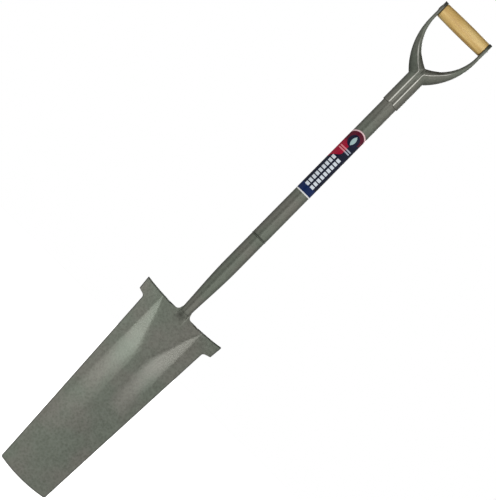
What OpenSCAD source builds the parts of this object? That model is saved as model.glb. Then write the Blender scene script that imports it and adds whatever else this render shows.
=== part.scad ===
// Draining spade: a long narrow trough blade with foot treads, a tapered socket, a steel tube
// and a split steel yoke that holds a riveted wooden crosspiece.
// Heights are counted up from the middle of the mouth, the shaft stands along Z and the hollow
// front of the blade faces -Y. grip_frame() then puts the origin at the middle of the grip.

/* [Blade] */
// Height of the tread tips above the mouth
blade_h = 407; // [380:1:430]
// Width of the blade at its mouth
mouth_w = 106; // [96:1:116]
// Width of the blade just below the treads
shoulder_w = 145; // [138:1:152]
// Width across both treads
tread_w = 178; // [172:1:190]
// How deep the trough is pressed at its deepest
trough_d = 13; // [8:0.5:16]
// How far the mouth stands forward of the shaft
lift = 42; // [20:1:60]
// Thickness of the blade plate
plate_t = 2.4; // [2:0.1:3]
// How far the folded treads reach back
tread_d = 12; // [9:0.5:14]

/* [Socket and shaft] */
// Height of the welded joint between socket and tube
joint_h = 590; // [560:1:620]
// Diameter of the socket where it meets the blade
neck_d = 20; // [19:0.5:22]
// Diameter of the socket at the joint
socket_d = 29.4; // [28:0.2:30]
// Diameter of the shaft tube
tube_d = 30; // [29:0.5:31]
// Wall of the shaft tube
tube_wall = 2; // [1.6:0.1:2.4]

/* [Handle] */
// Height of the lower rim of the yoke
sleeve_h = 917; // [890:1:930]
// Wall of the yoke where it wraps the tube
sleeve_wall = 1.6; // [1.4:0.1:2]
// Height of the centre of the grip
grip_h = 1100; // [1098:1:1104]
// Length of the grip between the straps
grip_len = 100; // [96:1:104]
// Diameter of the grip at its middle
grip_d = 30.5; // [28:0.5:32]
// Thickness of the yoke straps at the grip
strap_t = 6.6; // [5:0.2:8]
// Diameter of the rivet through the grip
rivet_d = 8; // [6:0.5:9]

/* [Label] */
// Height of the lower edge of the label
label_h = 699; // [620:1:740]
// Length of the label along the shaft
label_len = 149; // [100:1:160]

/* [Hidden] */
enamel = [0.42, 0.44, 0.40];
wood = [0.80, 0.64, 0.38];
navy = [0.10, 0.14, 0.35];

// Blade outline
mouth_bow = 5;
mouth_corner = 4;
shoulder_h = blade_h - 34.5;
tread_fillet = 7.5;
tread_rise = 18;
tread_corner = 2;
tread_splay = 2;
top_dip = 5;
neck_h = blade_h - top_dip;
fillet_w = 9;
fillet_h = 11;
neck_r = neck_d / 2;

// Pressed form of the plate
trough_floor = 14;
trough_edge = 49;
trough_full_h = 330;
ramp_slope = trough_d / 78;
curl = 4;
curl_at = 75;
mouth_taper = 14;
mouth_edge_t = 1;
fold_r = 2.8;
fold_start = 19;
fold_full = 31;
tread_reach = tread_d - fold_r - plate_t / 2;
cols = 14;
spread_from = 0.7;

// Socket
nose_len = 27;
socket_taper_h = 115;
socket_wall = 2;
spigot_len = 45;
spigot_clear = 0.05;
weld_gap = 2;
weld_crown = 0.6;
slot_play = 0.4;

// Yoke
tube_r = tube_d / 2;
tube_end_h = sleeve_h + 53;
sleeve_play = 0.2;
bore_r = tube_r + sleeve_play;
sleeve_r = bore_r + sleeve_wall;
sleeve_top = sleeve_h + 60;
inner_r = 86;
outer_r = 130;
inner_cx = grip_len / 2 - inner_r;
outer_cx = grip_len / 2 + strap_t - outer_r;
inner_cz = grip_h - 18;
outer_cz = grip_h - 26;
inner_a = acos(-inner_cx / inner_r);
outer_a = acos((sleeve_r - outer_cx) / outer_r);
eye_r = 15.6;
arm_waist = 2.6;
strap_square = 2.2;
notch_w = 8;
notch_h = 4.5;
rivet_play = 0.1;
head_r = 6.5;
head_h = 1;
grip_fall = 0.8;
grip_edge = 1;
label_t = 0.25;
label_half_angle = 92;

function ease(t) = let (c = min(max(t, 0), 1)) c * c * (3 - 2 * c);
function mix(a, b, t) = a + (b - a) * t;

// A minimum of two positive depths that rounds the crease between them
function soft_min(a, b) = a * b / pow(pow(a, 4) + pow(b, 4), 1 / 4);

// Trough depth: flat floor, sloped sides, fading to nothing at the mouth
function trough(x, z) =
    trough_d * pow(min(max(z, 0) / trough_full_h, 1), 1.8)
    * (1 - ease((abs(x) - trough_floor) / (trough_edge - trough_floor)));

// Depth of the middle of the plate, with the ramp that closes the trough below the neck
function plate_y(x, z) =
    let (below = max(neck_h - z, 0))
    soft_min(max(trough(x, z), 0.001), max(ramp_slope * below, 0.001))
    - curl * pow(x / curl_at, 2)
    - lift * pow(below / neck_h, 1.2);

// Height of the top edge, dipped in the middle and filleted up to the neck
function top_edge(x) =
    let (in = min(max((neck_r + fillet_w - abs(x)) / fillet_w, 0), 1))
    neck_h + top_dip * pow(2 * abs(x) / tread_w, 3) + fillet_h * (1 - sqrt(1 - pow(in, 2)));

// How much of the tread fold is there: none at the neck, all of it out on the shoulders
function fold(x) = max(ease((abs(x) - fold_start) / (fold_full - fold_start)), 0.04);

// How far the fold has climbed and gone back once it has turned by angle a and run on by reach
function fold_up(f, a, reach) = f * (fold_r * sin(a * f) + reach * pow(f, 2) * cos(a * f));
function fold_back(f, a, reach) = f * (fold_r * (1 - cos(a * f)) + reach * pow(f, 2) * sin(a * f));

// Where the fold begins, so that its upper face ends level with the top edge
function fold_base(x) =
    let (f = fold(x)) top_edge(x) - fold_up(f, 90, tread_reach) - plate_t / 2 * sin(90 * f);

// Right-hand edge of the plate from the mouth up to the tread tip, as [half width, height].
// Past its fillet the underside of the tread rises outward at tread_rise.
tip_w = tread_w / 2 - tread_splay;
fillet_end = [shoulder_w / 2 + tread_fillet * (1 - sin(tread_rise)),
              shoulder_h + tread_fillet * cos(tread_rise)];
corner_x = tip_w - tread_corner;
corner_z = fillet_end.y + tread_corner * cos(tread_rise)
    + tan(tread_rise) * (corner_x + tread_corner * sin(tread_rise) - fillet_end.x);
rim = concat(
    [for (a = [0, 35, 65, 90])
        [mouth_w / 2 - mouth_corner * (1 - sin(a)), mouth_bow + mouth_corner * (1 - cos(a))]],
    [for (i = [1:13])
        [mix(mouth_w, shoulder_w, i / 13) / 2,
         mix(mouth_bow + mouth_corner, shoulder_h, i / 13)]],
    [for (i = [1:4])
        let (a = i * (90 - tread_rise) / 4)
        [shoulder_w / 2 + tread_fillet * (1 - cos(a)), shoulder_h + tread_fillet * sin(a)]],
    [for (a = [tread_rise, 50, 90])
        [corner_x + tread_corner * sin(a), corner_z - tread_corner * cos(a)]],
    [for (i = [1:4]) [tip_w + tread_splay * i / 4, mix(corner_z, blade_h, i / 4)]]
);

// Columns across the plate from -1 to 1, closer together at the neck. Where the treads stand out
// past the shoulders only the outer columns spread.
column = [for (i = [-cols:cols]) sign(i) * pow(abs(i) / cols, 1.25)];
function column_x(s, half_w) =
    let (within = min(half_w, shoulder_w / 2), out = max(abs(s) - spread_from, 0))
    s * within + sign(s) * (half_w - within) * out / (1 - spread_from);

// One ring of the plate: its front from left to right, then its back from right to left
function plate_ring(half_w, h) =
    let (
        from_mouth = 1 - min((h - mouth_bow) / (shoulder_h - mouth_bow), 1),
        from_tread = max((h - shoulder_h) / (blade_h - shoulder_h), 0),
        t = mix(mouth_edge_t, plate_t, min((h - mouth_bow) / mouth_taper, 1)),
        middle = [for (s = column)
            let (
                x = column_x(s, half_w),
                bow = mouth_bow * (pow(2 * x / mouth_w, 2) - 1) * from_mouth,
                cut = (fold_base(x) - blade_h) * from_tread,
                z = h + bow + cut
            )
            [x, plate_y(x, z), z]]
    )
    sheet_ring(middle, [for (p = middle) [0, t / 2, 0]]);

// One ring of the tread fold: turned back by angle a, then run straight back by reach
function fold_ring(a, reach) =
    let (
        middle = [for (s = column)
            let (
                x = column_x(s, tread_w / 2),
                f = fold(x),
                z = fold_base(x)
            )
            [x, plate_y(x, z) + fold_back(f, a, reach), z + fold_up(f, a, reach)]]
    )
    sheet_ring(middle, [for (p = middle) plate_t / 2 * [0, cos(a * fold(p.x)), -sin(a * fold(p.x))]]);

function sheet_ring(middle, half) =
    let (last = len(middle) - 1)
    concat(
        [for (i = [0:last]) middle[i] - half[i]],
        [for (i = [last:-1:0]) middle[i] + half[i]]
    );

// Closed shell through rings of 2n points that run anticlockwise seen from above.
// Point i of a ring lies across from point 2n-1-i, so each end is closed by a strip.
module skin(rings) {
    n = len(rings[0]);
    top = len(rings) - 1;
    sides = [for (r = [0:top - 1], i = [0:n - 1])
        let (j = (i + 1) % n, a = r * n, b = a + n)
        each [[a + i, b + i, b + j], [a + i, b + j, a + j]]];
    ends = [for (i = [0:n / 2 - 2])
        let (j = n - 1 - i, t = top * n)
        each [[i, i + 1, j - 1], [i, j - 1, j],
              [t + i, t + j - 1, t + i + 1], [t + i, t + j, t + j - 1]]];
    polyhedron([for (r = rings, p = r) p], concat(sides, ends));
}

module grip_frame() {
    translate([0, 0, -grip_h]) children();
}

// Lays a shape drawn up Z along the grip's own axis, X
module along_grip() {
    translate([0, 0, grip_h]) rotate([0, 90, 0]) children();
}

module blade() {
    grip_frame() color(enamel) skin(concat(
        [for (p = rim) plate_ring(p.x, p.y)],
        [for (a = [22.5:22.5:90]) fold_ring(a, 0)],
        [fold_ring(90, tread_reach)]
    ));
}

// Outer radius of the socket: a round nose on the blade, then a taper up to the joint
function socket_r(z) =
    let (up = min(max((z - neck_top) / socket_taper_h, 0), 1))
    mix(neck_r, socket_d / 2, pow(sin(90 * up), 1.4));
neck_top = neck_h + 7;

module socket() {
    nose = [for (a = [0:18:90]) [neck_r * sin(a), neck_top - nose_len * cos(a)]];
    taper_steps = 10;
    taper = [for (i = [1:taper_steps])
        let (z = neck_top + socket_taper_h * i / taper_steps) [socket_r(z), z]];
    rim_h = joint_h - weld_gap / 2;
    bore = [for (i = [taper_steps:-2:2])
        let (z = neck_top + socket_taper_h * i / taper_steps) [socket_r(z) - socket_wall, z]];
    spigot_bore = tube_r - tube_wall - 0.3 + spigot_clear;
    hollow = concat(
        [[spigot_bore, rim_h], [spigot_bore, joint_h - spigot_len]],
        [for (p = bore) if (p.y < joint_h - spigot_len) [min(p.x, spigot_bore), p.y]],
        [[0, neck_top + 15]]
    );
    grip_frame() color(enamel) difference() {
        rotate_extrude($fn = 96)
            polygon(concat(nose, taper, [[socket_d / 2, rim_h]], hollow));
        plate_slot();
    }
}

// The slot in the nose of the socket that the blade plate is welded into
module plate_slot() {
    half = plate_t / 2 + slot_play;
    levels = [neck_top - nose_len - 2, neck_h - 12, neck_h - 5, neck_h, neck_h + fillet_h + 1];
    rotate([90, 0, 90])
        linear_extrude(4 * neck_r, center = true)
            polygon(concat(
                [for (z = levels) [plate_y(0, z) + half, z]],
                [for (i = [len(levels) - 1:-1:0]) [plate_y(0, levels[i]) - half, levels[i]]]
            ));
}

module joint_weld() {
    root_r = tube_r - tube_wall - 0.3;
    half = weld_gap / 2;
    crown_r = tube_r - 0.15;
    arc_r = (pow(half, 2) + pow(weld_crown, 2)) / (2 * weld_crown);
    grip_frame() color(enamel) translate([0, 0, joint_h]) rotate_extrude($fn = 96) {
        translate([root_r, -half]) square([crown_r - root_r, weld_gap]);
        intersection() {
            translate([crown_r + weld_crown - arc_r, 0]) circle(arc_r, $fn = 48);
            translate([crown_r - 0.5, -half]) square([1 + weld_crown, weld_gap]);
        }
    }
}

// Seamless tube whose lower end is swaged down to a spigot inside the socket
module shaft_tube() {
    spigot_r = tube_r - tube_wall - 0.3;
    shoulder = joint_h + weld_gap / 2;
    foot = joint_h - spigot_len + 1;
    grip_frame() color(enamel) rotate_extrude($fn = 96) polygon([
        [spigot_r, foot],
        [spigot_r, shoulder],
        [tube_r, shoulder],
        [tube_r, tube_end_h],
        [tube_r - tube_wall, tube_end_h],
        [tube_r - tube_wall, shoulder + 8],
        [spigot_r - tube_wall, shoulder - 4],
        [spigot_r - tube_wall, foot]
    ]);
}

// Printed film on the front half of the tube, square below and round on top
module label() {
    round_r = tube_r;
    grip_frame() color(navy) intersection() {
        translate([0, 0, label_h]) rotate([0, 0, 270 - label_half_angle])
            rotate_extrude(angle = 2 * label_half_angle, $fn = 96)
                translate([tube_r, 0]) square([label_t, label_len]);
        rotate([90, 0, 0]) linear_extrude(2 * tube_d) {
            translate([-tube_d, label_h]) square([2 * tube_d, label_len - round_r]);
            translate([0, label_h + label_len - 1.25 * round_r])
                circle(1.25 * round_r, $fn = 96);
        }
    }
}

// Ends of a yoke section in the XZ plane: on the inner curve and on the outer curve of the arm
function arm_inner(t) =
    let (a = inner_a * (1 - t)) [inner_cx + inner_r * cos(a), 0, inner_cz - inner_r * sin(a)];
function arm_outer(t) =
    let (a = outer_a * (1 - t)) [outer_cx + outer_r * cos(a), 0, outer_cz - outer_r * sin(a)];

// Half depth of the arm, drawn in at its waist and full again at the eye
function arm_half_depth(t) = mix(sleeve_r - 0.6, eye_r, t) - arm_waist * sin(180 * t);

function round_power(v, square) = sign(v) * pow(abs(v), 1 / square);

// One ring of the right half of the yoke from its inner end to its outer end. It is a half round
// wall about the tube where filled is 0, a solid half round where filled is 1 and closed is 0,
// and a whole rounded bar where closed is 1.
function yoke_ring(inner, outer, half_d, filled, closed, square) =
    let (
        w = norm(outer - inner),
        across = (outer - inner) / w,
        wall = [for (a = [-90:15:90]) [w * cos(a), half_d * sin(a)]],
        bore = [for (a = [82.5:-13.75:-82.5])
            [w * bore_r / sleeve_r * cos(a) * (1 - filled), bore_r * sin(a)]],
        angle = concat([for (a = [-90:15:90]) a], [for (a = [97.5:13.75:262.5]) a]),
        bar = [for (a = angle)
            [w / 2 * (1 + round_power(cos(a), square)), half_d * round_power(sin(a), square)]],
        open = concat(wall, bore)
    )
    [for (i = [0:len(angle) - 1])
        let (p = mix(open[i], bar[i], closed)) inner + p.x * across + [0, p.y, 0]];

function strap_ring(z, half_d) =
    yoke_ring([grip_len / 2, 0, z], [grip_len / 2 + strap_t, 0, z], half_d, 1, 1, strap_square);

module yoke_half() {
    sleeve = [for (z = [sleeve_h, mix(sleeve_h, sleeve_top, 0.5), sleeve_top])
        yoke_ring([0, 0, z], [sleeve_r, 0, z], sleeve_r, 0, 0, 1)];
    crotch = [for (k = [0.1:0.1:0.9]) yoke_ring(
        mix([0, 0, sleeve_top], arm_inner(0), k),
        mix([sleeve_r, 0, sleeve_top], arm_outer(0), k),
        mix(sleeve_r, arm_half_depth(0), k), ease(k / 0.4), ease((k - 0.4) / 0.6), 1)];
    arm = [for (t = [0:0.1:1]) yoke_ring(
        arm_inner(t), arm_outer(t), arm_half_depth(t), 1, 1, mix(1, strap_square, t))];
    strap = [for (z = [grip_h - 10, grip_h - 5]) strap_ring(z, eye_r)];
    eye = [for (a = [0, 12, 24, 36, 48, 60, 72, 82, 89]) strap_ring(grip_h + eye_r * sin(a), eye_r * cos(a))];
    difference() {
        skin(concat(sleeve, crotch, arm, strap, eye));
        along_grip() cylinder(r = rivet_d / 2 + rivet_play, h = grip_len, $fn = 48);
        translate([0, 0, sleeve_h]) rotate([90, 0, 0])
            linear_extrude(2 * sleeve_r)
                polygon([[-notch_w, -1], [notch_w, -1], [notch_w, 0], [0, notch_h], [-notch_w, 0]]);
    }
}

module yoke_right() {
    grip_frame() color(enamel) yoke_half();
}

module yoke_left() {
    grip_frame() color(enamel) mirror([1, 0, 0]) yoke_half();
}

// Turned crosspiece, a little fuller in the middle, drilled through for the rivet
module grip() {
    half = grip_len / 2;
    hole_r = rivet_d / 2 + rivet_play;
    steps = 6;
    barrel = [for (i = [-steps:steps])
        [grip_d / 2 - grip_fall * pow(i / steps, 2), i * (half - grip_edge) / steps]];
    end_r = grip_d / 2 - grip_fall - grip_edge;
    grip_frame() color(wood) along_grip() rotate_extrude($fn = 96)
        polygon(concat([[hole_r, -half], [end_r, -half]], barrel, [[end_r, half], [hole_r, half]]));
}

// Steel rivet through both straps and the crosspiece, with a domed head at each end
module grip_rivet() {
    half = grip_len / 2 + strap_t;
    dome_r = (pow(head_r, 2) + pow(head_h, 2)) / (2 * head_h);
    grip_frame() color(enamel) along_grip() {
        cylinder(r = rivet_d / 2, h = 2 * half, center = true, $fn = 48);
        for (end = [0, 1]) mirror([0, 0, end]) translate([0, 0, half])
            rotate_extrude($fn = 64) intersection() {
                translate([0, head_h - dome_r]) circle(dome_r, $fn = 96);
                square([head_r, head_h]);
            }
    }
}

blade();
socket();
joint_weld();
shaft_tube();
label();
yoke_left();
yoke_right();
grip();
grip_rivet();
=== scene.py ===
# %% [markdown]
# # A draining spade
# This notebook builds the finished look of an all-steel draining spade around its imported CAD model.
# The tool has nine pieces: a pressed blade, a tapered socket, a ring weld, a tube, a printed label,
# two yoke halves, a turned wooden crosspiece and a rivet. The CAD model gives their places and their
# main sizes. Here each one is worked out again as a fine surface, because the plain CAD facets would
# show in a close view.
# Everything is in metres. The origin is the middle of the crosspiece, Z runs up the shaft and the
# hollow front of the blade faces -Y.

import bmesh
import bpy
import numpy as np
from mathutils import Matrix, Vector


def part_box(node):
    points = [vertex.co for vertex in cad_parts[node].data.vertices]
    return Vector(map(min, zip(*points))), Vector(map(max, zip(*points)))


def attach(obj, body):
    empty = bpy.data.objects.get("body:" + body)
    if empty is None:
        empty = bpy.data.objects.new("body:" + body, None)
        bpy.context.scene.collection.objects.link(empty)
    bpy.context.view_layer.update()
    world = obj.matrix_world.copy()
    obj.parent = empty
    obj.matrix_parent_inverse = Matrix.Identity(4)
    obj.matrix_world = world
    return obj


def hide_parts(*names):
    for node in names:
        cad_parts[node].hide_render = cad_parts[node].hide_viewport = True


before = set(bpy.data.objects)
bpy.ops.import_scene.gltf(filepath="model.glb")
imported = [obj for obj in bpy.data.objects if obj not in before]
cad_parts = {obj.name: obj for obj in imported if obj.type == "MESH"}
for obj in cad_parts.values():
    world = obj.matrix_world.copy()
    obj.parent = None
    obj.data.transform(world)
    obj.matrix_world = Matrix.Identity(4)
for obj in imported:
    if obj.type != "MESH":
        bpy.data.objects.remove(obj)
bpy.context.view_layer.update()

MM = 0.001
hair = 0.1 * MM

# %% [markdown]
# ## Measures from the frame
# The pieces have to sit exactly where the CAD pieces sit, so every place is read from the boxes of
# the CAD nodes. Heights on the blade and the socket are counted up from the mouth, the low edge
# that cuts the soil. What is left are the small sizes that no box shows, such as a fillet.

# %% Places of the pieces
blade_low, blade_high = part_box("blade")
socket_low, socket_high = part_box("socket")
weld_low, weld_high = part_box("joint_weld")
tube_low, tube_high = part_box("shaft_tube")
label_low, label_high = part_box("label")
yoke_low, yoke_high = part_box("yoke_right")
grip_low, grip_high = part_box("grip")
rivet_low, rivet_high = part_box("grip_rivet")

mouth_z = blade_low.z
fillet_top_h = blade_high.z - mouth_z
tube_r = tube_high.x
print("mouth at", round(mouth_z, 4), "blade height", round(fillet_top_h, 4), "tube radius", tube_r)

# %% [markdown]
# ## From formula to mesh
# A surface is a grid: rows run one way, columns the other, and a formula gives the place of every
# point at once. Two helpers turn such grids into clean meshes. Points that fall on each other, at a
# pole or where a front meets a back, are merged, and the normals are then turned outward. Edges
# that turn by more than 50 degrees stay sharp in the smooth shading.

# %% Grid helpers
merge_within = 0.0002 * MM
sliver = 0.0001 * MM
sharp_from = np.radians(50)


def ease(t):
    """Smooth step: 3t^2 - 2t^3, with t held between 0 and 1."""
    t = np.clip(t, 0, 1)
    return t * t * (3 - 2 * t)


def mix(a, b, t):
    """Straight blend from a, where t is 0, to b, where t is 1."""
    return a + (b - a) * t


def quads(rows, columns, around=False):
    """Corner numbers of the quads of a grid that is numbered row by row. With around, the last
    column meets the first."""
    column = np.arange(columns if around else columns - 1)
    right = (column + 1) % columns
    row = np.arange(rows - 1)[:, None] * columns
    corners = [row + column, row + right, row + columns + right, row + columns + column]
    return np.stack(corners, axis=-1).reshape(-1, 4)


def spin(profile, axis="Z", steps=96):
    """Grid of a turned shape: each profile point (radius, height) goes once round the axis."""
    angle = np.linspace(0, 2 * np.pi, steps, endpoint=False)
    radius, height = profile[:, :1], profile[:, 1:]
    across, deep = radius * np.cos(angle), radius * np.sin(angle)
    along = height + 0 * angle
    order = (across, deep, along) if axis == "Z" else (along, across, deep)
    return np.stack(order, axis=-1)


def add_piece(name, points, faces, node, uv=None, rubbed=None):
    """Merged and outward-facing mesh of the points and faces, standing for one CAD node. The painted
    sheen and shade gives, for each point, how much painted highlight it gets, or below 0 how much
    painted shade darkens its edge."""
    mesh = bpy.data.meshes.new(name)
    mesh.from_pydata(points.reshape(-1, 3), [], faces)
    if uv is not None:
        layer = mesh.uv_layers.new(name="film")
        layer.data.foreach_set("uv", uv.reshape(-1, 2)[faces.reshape(-1)].astype(np.float32).ravel())
    if rubbed is not None:
        scuffs_and_painted_light = mesh.attributes.new("rubbed", "FLOAT", "POINT")
        scuffs_and_painted_light.data.foreach_set("value", rubbed.reshape(-1).astype(np.float32))
    shell = bmesh.new()
    shell.from_mesh(mesh)
    bmesh.ops.remove_doubles(shell, verts=shell.verts, dist=merge_within)
    bmesh.ops.dissolve_degenerate(shell, edges=shell.edges, dist=sliver)
    bmesh.ops.recalc_face_normals(shell, faces=shell.faces)
    open_edges = sum(not edge.is_manifold for edge in shell.edges)
    shell.to_mesh(mesh)
    shell.free()
    mesh.shade_smooth()
    mesh.set_sharp_from_angle(angle=sharp_from)
    piece = bpy.data.objects.new(name, mesh)
    bpy.context.scene.collection.objects.link(piece)
    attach(piece, "root")
    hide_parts(node)
    print(name, len(mesh.polygons), "faces,", open_edges, "open edges")
    return piece


# %% [markdown]
# ## Blade: the pressed form
# The real blade starts as a flat plate. A press pushes a trough into it that grows deeper from the
# mouth to the shoulders, and ends it with a flat ramp under the neck, so earth slides out.
# It could be sculpted, or bent from a flat grid with modifiers, but then each change of a radius is
# work done again. Here one height field says how far back the middle of the plate lies at each
# place. The trough and the ramp are joined with a minimum that rounds the crease between them, as a
# press tool does.

# %% Pressed form
fillet_h = 11 * MM
top_dip = 5 * MM
neck_h = fillet_top_h - fillet_h
tread_tip_h = neck_h + top_dip
shoulder_h = tread_tip_h - 34.5 * MM
trough_d = 13 * MM
trough_floor = 9 * MM
trough_edge = 49 * MM
trough_full_h = 330 * MM
trough_growth = 1.8
side_curve = 0.4
ramp_len = 104 * MM
ramp_slope = trough_d / ramp_len
crease = 8
least_mm = 0.001
lift = 42 * MM
lift_growth = 1.2
curl = 4 * MM
curl_at = 75 * MM


def soft_min(a, b):
    """Minimum of two depths with a rounded crease: ab / (a^p + b^p)^(1/p), where p is crease. A
    higher power makes the crease sharper."""
    a, b = np.maximum(a / MM, least_mm), np.maximum(b / MM, least_mm)
    return MM * a * b / (a**crease + b**crease) ** (1 / crease)


def trough(x, h):
    """Depth of the trough: flat floor and sloping sides, growing as a power of the height. The
    sides are straight for the most part, with an S-curve mixed in to ease their ends."""
    side = np.clip((np.abs(x) - trough_floor) / (trough_edge - trough_floor), 0, 1)
    side = mix(side, ease(side), side_curve)
    return trough_d * np.clip(h / trough_full_h, 0, 1) ** trough_growth * (1 - side)


def plate_y(x, h):
    """How far back the middle of the plate lies: trough or ramp, less the edge curl and the lift
    that brings the mouth forward of the shaft."""
    below = np.clip(neck_h - h, 0, None)
    pressed = soft_min(trough(x, h), ramp_slope * below)
    return pressed - curl * (x / curl_at) ** 2 - lift * (below / neck_h) ** lift_growth


print("trough floor lies back", round(float(plate_y(0, trough_full_h)), 4))

# %% [markdown]
# ## Blade: the outline and the treads
# The outline is one chain from the mouth to the tips of the treads: a small corner, a long straight
# side, a fillet, the underside of the tread and the tip. Each point of the chain is the end of one
# row across the plate. Above the tips the plate turns back over a bend and runs on, which makes the
# step for the boot. A Boolean could cut the outline out of a sheet, but it leaves long thin faces
# along the cut. Rows that end on the outline keep every face a neat quad.

# %% Outline of the blade
mouth_w = 53 * MM
shoulder_w = 72.5 * MM
tread_w = blade_high.x
mouth_bow = 5 * MM
mouth_corner = 4 * MM
tread_fillet = 7.5 * MM
tread_slope = 18
tread_rise = np.radians(tread_slope)
tip_corner = 2 * MM
tip_taper = 2 * MM
tip_w = tread_w - tip_taper
neck_r = 10 * MM
fillet_w = 9 * MM


def arc(start, stop, count):
    """Angles of an arc, in radians."""
    return np.radians(np.linspace(start, stop, count))


def chain(*pieces):
    """One row of (half width, height) points through all the stretches."""
    return np.concatenate([np.stack(np.broadcast_arrays(*piece), axis=-1) for piece in pieces])


turn = arc(0, 90, 14)
bend = arc(4, 90 - tread_slope, 12)
tip = np.linspace(tread_rise, np.pi / 2, 8)
fillet_x = shoulder_w + tread_fillet * (1 - np.sin(tread_rise))
fillet_z = shoulder_h + tread_fillet * np.cos(tread_rise)
corner_x = tip_w - tip_corner
lowest_x = corner_x + tip_corner * np.sin(tread_rise)
lowest_z = fillet_z + np.tan(tread_rise) * (lowest_x - fillet_x)
corner_z = lowest_z + tip_corner * np.cos(tread_rise)
side = np.linspace(0, 1, 121)[1:]
under = np.linspace(0, 1, 8)[1:-1]
outer = np.linspace(0, 1, 18)[1:]
rim = chain(
    (mouth_w - mouth_corner * (1 - np.sin(turn)), mouth_bow + mouth_corner * (1 - np.cos(turn))),
    (mix(mouth_w, shoulder_w, side), mix(mouth_bow + mouth_corner, shoulder_h, side)),
    (shoulder_w + tread_fillet * (1 - np.cos(bend)), shoulder_h + tread_fillet * np.sin(bend)),
    (mix(fillet_x, lowest_x, under), mix(fillet_z, lowest_z, under)),
    (corner_x + tip_corner * np.sin(tip), corner_z - tip_corner * np.cos(tip)),
    (mix(tip_w, tread_w, outer), mix(corner_z, tread_tip_h, outer)),
)
print("outline rows", len(rim))

# %% [markdown]
# A fold could be made with a Bevel on a sharp corner, but the one on this blade fades out towards the
# neck. So the rows past the top edge are laid along the path of the fold itself: a bend of a set
# radius that turns by an angle, then a straight run. Both shrink as the fold fades.

# %% Folded treads
plate_t = 2.4 * MM
tread_d = 12 * MM
fold_r = 2.8 * MM
fold_start = 12 * MM
fold_full = 42 * MM
least_fold = 0.25
tread_reach = tread_d - fold_r - plate_t / 2
print("a tread runs on for", round(tread_reach, 4), "past its bend")


def top_edge(x):
    """Height of the top edge: a dip in the middle and an elliptical fillet up to the neck."""
    into = np.clip((neck_r + fillet_w - np.abs(x)) / fillet_w, 0, 1)
    dip = top_dip * (np.abs(x) / tread_w) ** 3
    return neck_h + dip + fillet_h * (1 - np.sqrt(1 - into**2))


def fold(x):
    """How much of the fold is there: a quarter at the neck, all of it out on the treads."""
    return mix(least_fold, 1, ease((np.abs(x) - fold_start) / (fold_full - fold_start)))


def fold_path(x, angle, reach):
    """(height gained, distance back) after the bend has turned by angle and run on by reach."""
    share = fold(x)
    turned = angle * share
    up = share * (fold_r * np.sin(turned) + reach * share**2 * np.cos(turned))
    back = share * (fold_r * (1 - np.cos(turned)) + reach * share**2 * np.sin(turned))
    return up, back


def fold_base(x):
    """Height at which the bend begins, so that the tread's top is level with the top edge."""
    climbed = fold_path(x, np.pi / 2, tread_reach)[0]
    return top_edge(x) - climbed - plate_t / 2 * np.sin(np.pi / 2 * fold(x))


# %% [markdown]
# ## Blade: the nose of the socket
# The end of the socket is swaged: pressed flat on to the plate and welded, so it seems to grow out
# of the ramp. A smooth union does the same in a formula. The plate and the nose are two height
# fields, and where they come close the higher one is rounded up. The nose sinks under the plate in
# an S-curve while its section gets flatter and wider.

# %% Nose on the plate
nose_top = neck_h + 7 * MM
nose_len = 34 * MM
nose_sunk = 8 * MM
nose_reach = 22 * MM
nose_spread = 0.3
nose_fall = 1.3
hide_from = 1 * MM
hide_over = 6 * MM
taper_curve = 1.4
socket_taper_h = 115 * MM
socket_r_top = socket_high.x
print("socket radius", neck_r, "at the neck and", round(socket_r_top, 4), "at the joint")


def taper_r(h):
    """Radius of the tapered part, which eases out below the joint."""
    up = np.clip((h - nose_top) / socket_taper_h, 0, 1)
    return mix(neck_r, socket_r_top, np.sin(np.pi / 2 * up) ** taper_curve)


def nose_down(h):
    """S-curve of the nose: 0 at its top and 1 at its foot."""
    return ease((nose_top - h) / nose_len)


def socket_r(h):
    """Radius of the socket: the taper, which loses as much below its foot as the nose sinks."""
    return taper_r(h) - (neck_r + nose_sunk) * nose_down(h)


def soft_max(a, b, width):
    """Maximum of two heights that is rounded up by a parabola where they are within width."""
    near = np.maximum(width - np.abs(a - b), 0) / width
    return np.maximum(a, b) + near**2 * width / 4


def nose_height(x, h, sink):
    """How far the nose stands out from the middle of the shaft, on either face: its crown less the
    drop of half an ellipse across it. Outside it falls away in a weld fillet, and sink takes it
    under the socket above."""
    sunk = sink * ease((h - neck_h + hide_from) / hide_over)
    half_w = taper_r(h) * (1 + nose_spread * nose_down(h)) - sunk
    drop = (taper_r(h) - sunk) * (1 - nose_down(h))
    across_nose = np.minimum(np.abs(x) / half_w, 1)
    fall = nose_fall * np.maximum(np.abs(x) - half_w, 0)
    return socket_r(h) - sunk - drop * (1 - np.sqrt(1 - across_nose**2)) - fall


# %% Blade surface
side_columns = 76
crowding = 1.25
spread_from = 0.7
edge_steps = 6
mouth_edge_t = 1 * MM
mouth_taper = 14 * MM
sheared_w = 1.5 * MM
nose_tuck = 0.5 * MM
neck_blend = 4 * MM
foot_blend = 8 * MM


def across(s, half_w):
    """Place of column s, from -1 to 1, on a row of the given half width. Where the treads stand out
    past the shoulders, only the outer columns spread."""
    within = np.minimum(half_w, shoulder_w)
    out = np.maximum(np.abs(s) - spread_from, 0) / (1 - spread_from)
    return s * within + np.sign(s) * (half_w - within) * out


def round_off(distance, radius):
    """Share of the full thickness left at a distance from an edge with a round of that radius."""
    return np.sqrt(1 - (1 - np.clip(distance / radius, 0, 1)) ** 2)


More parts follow.
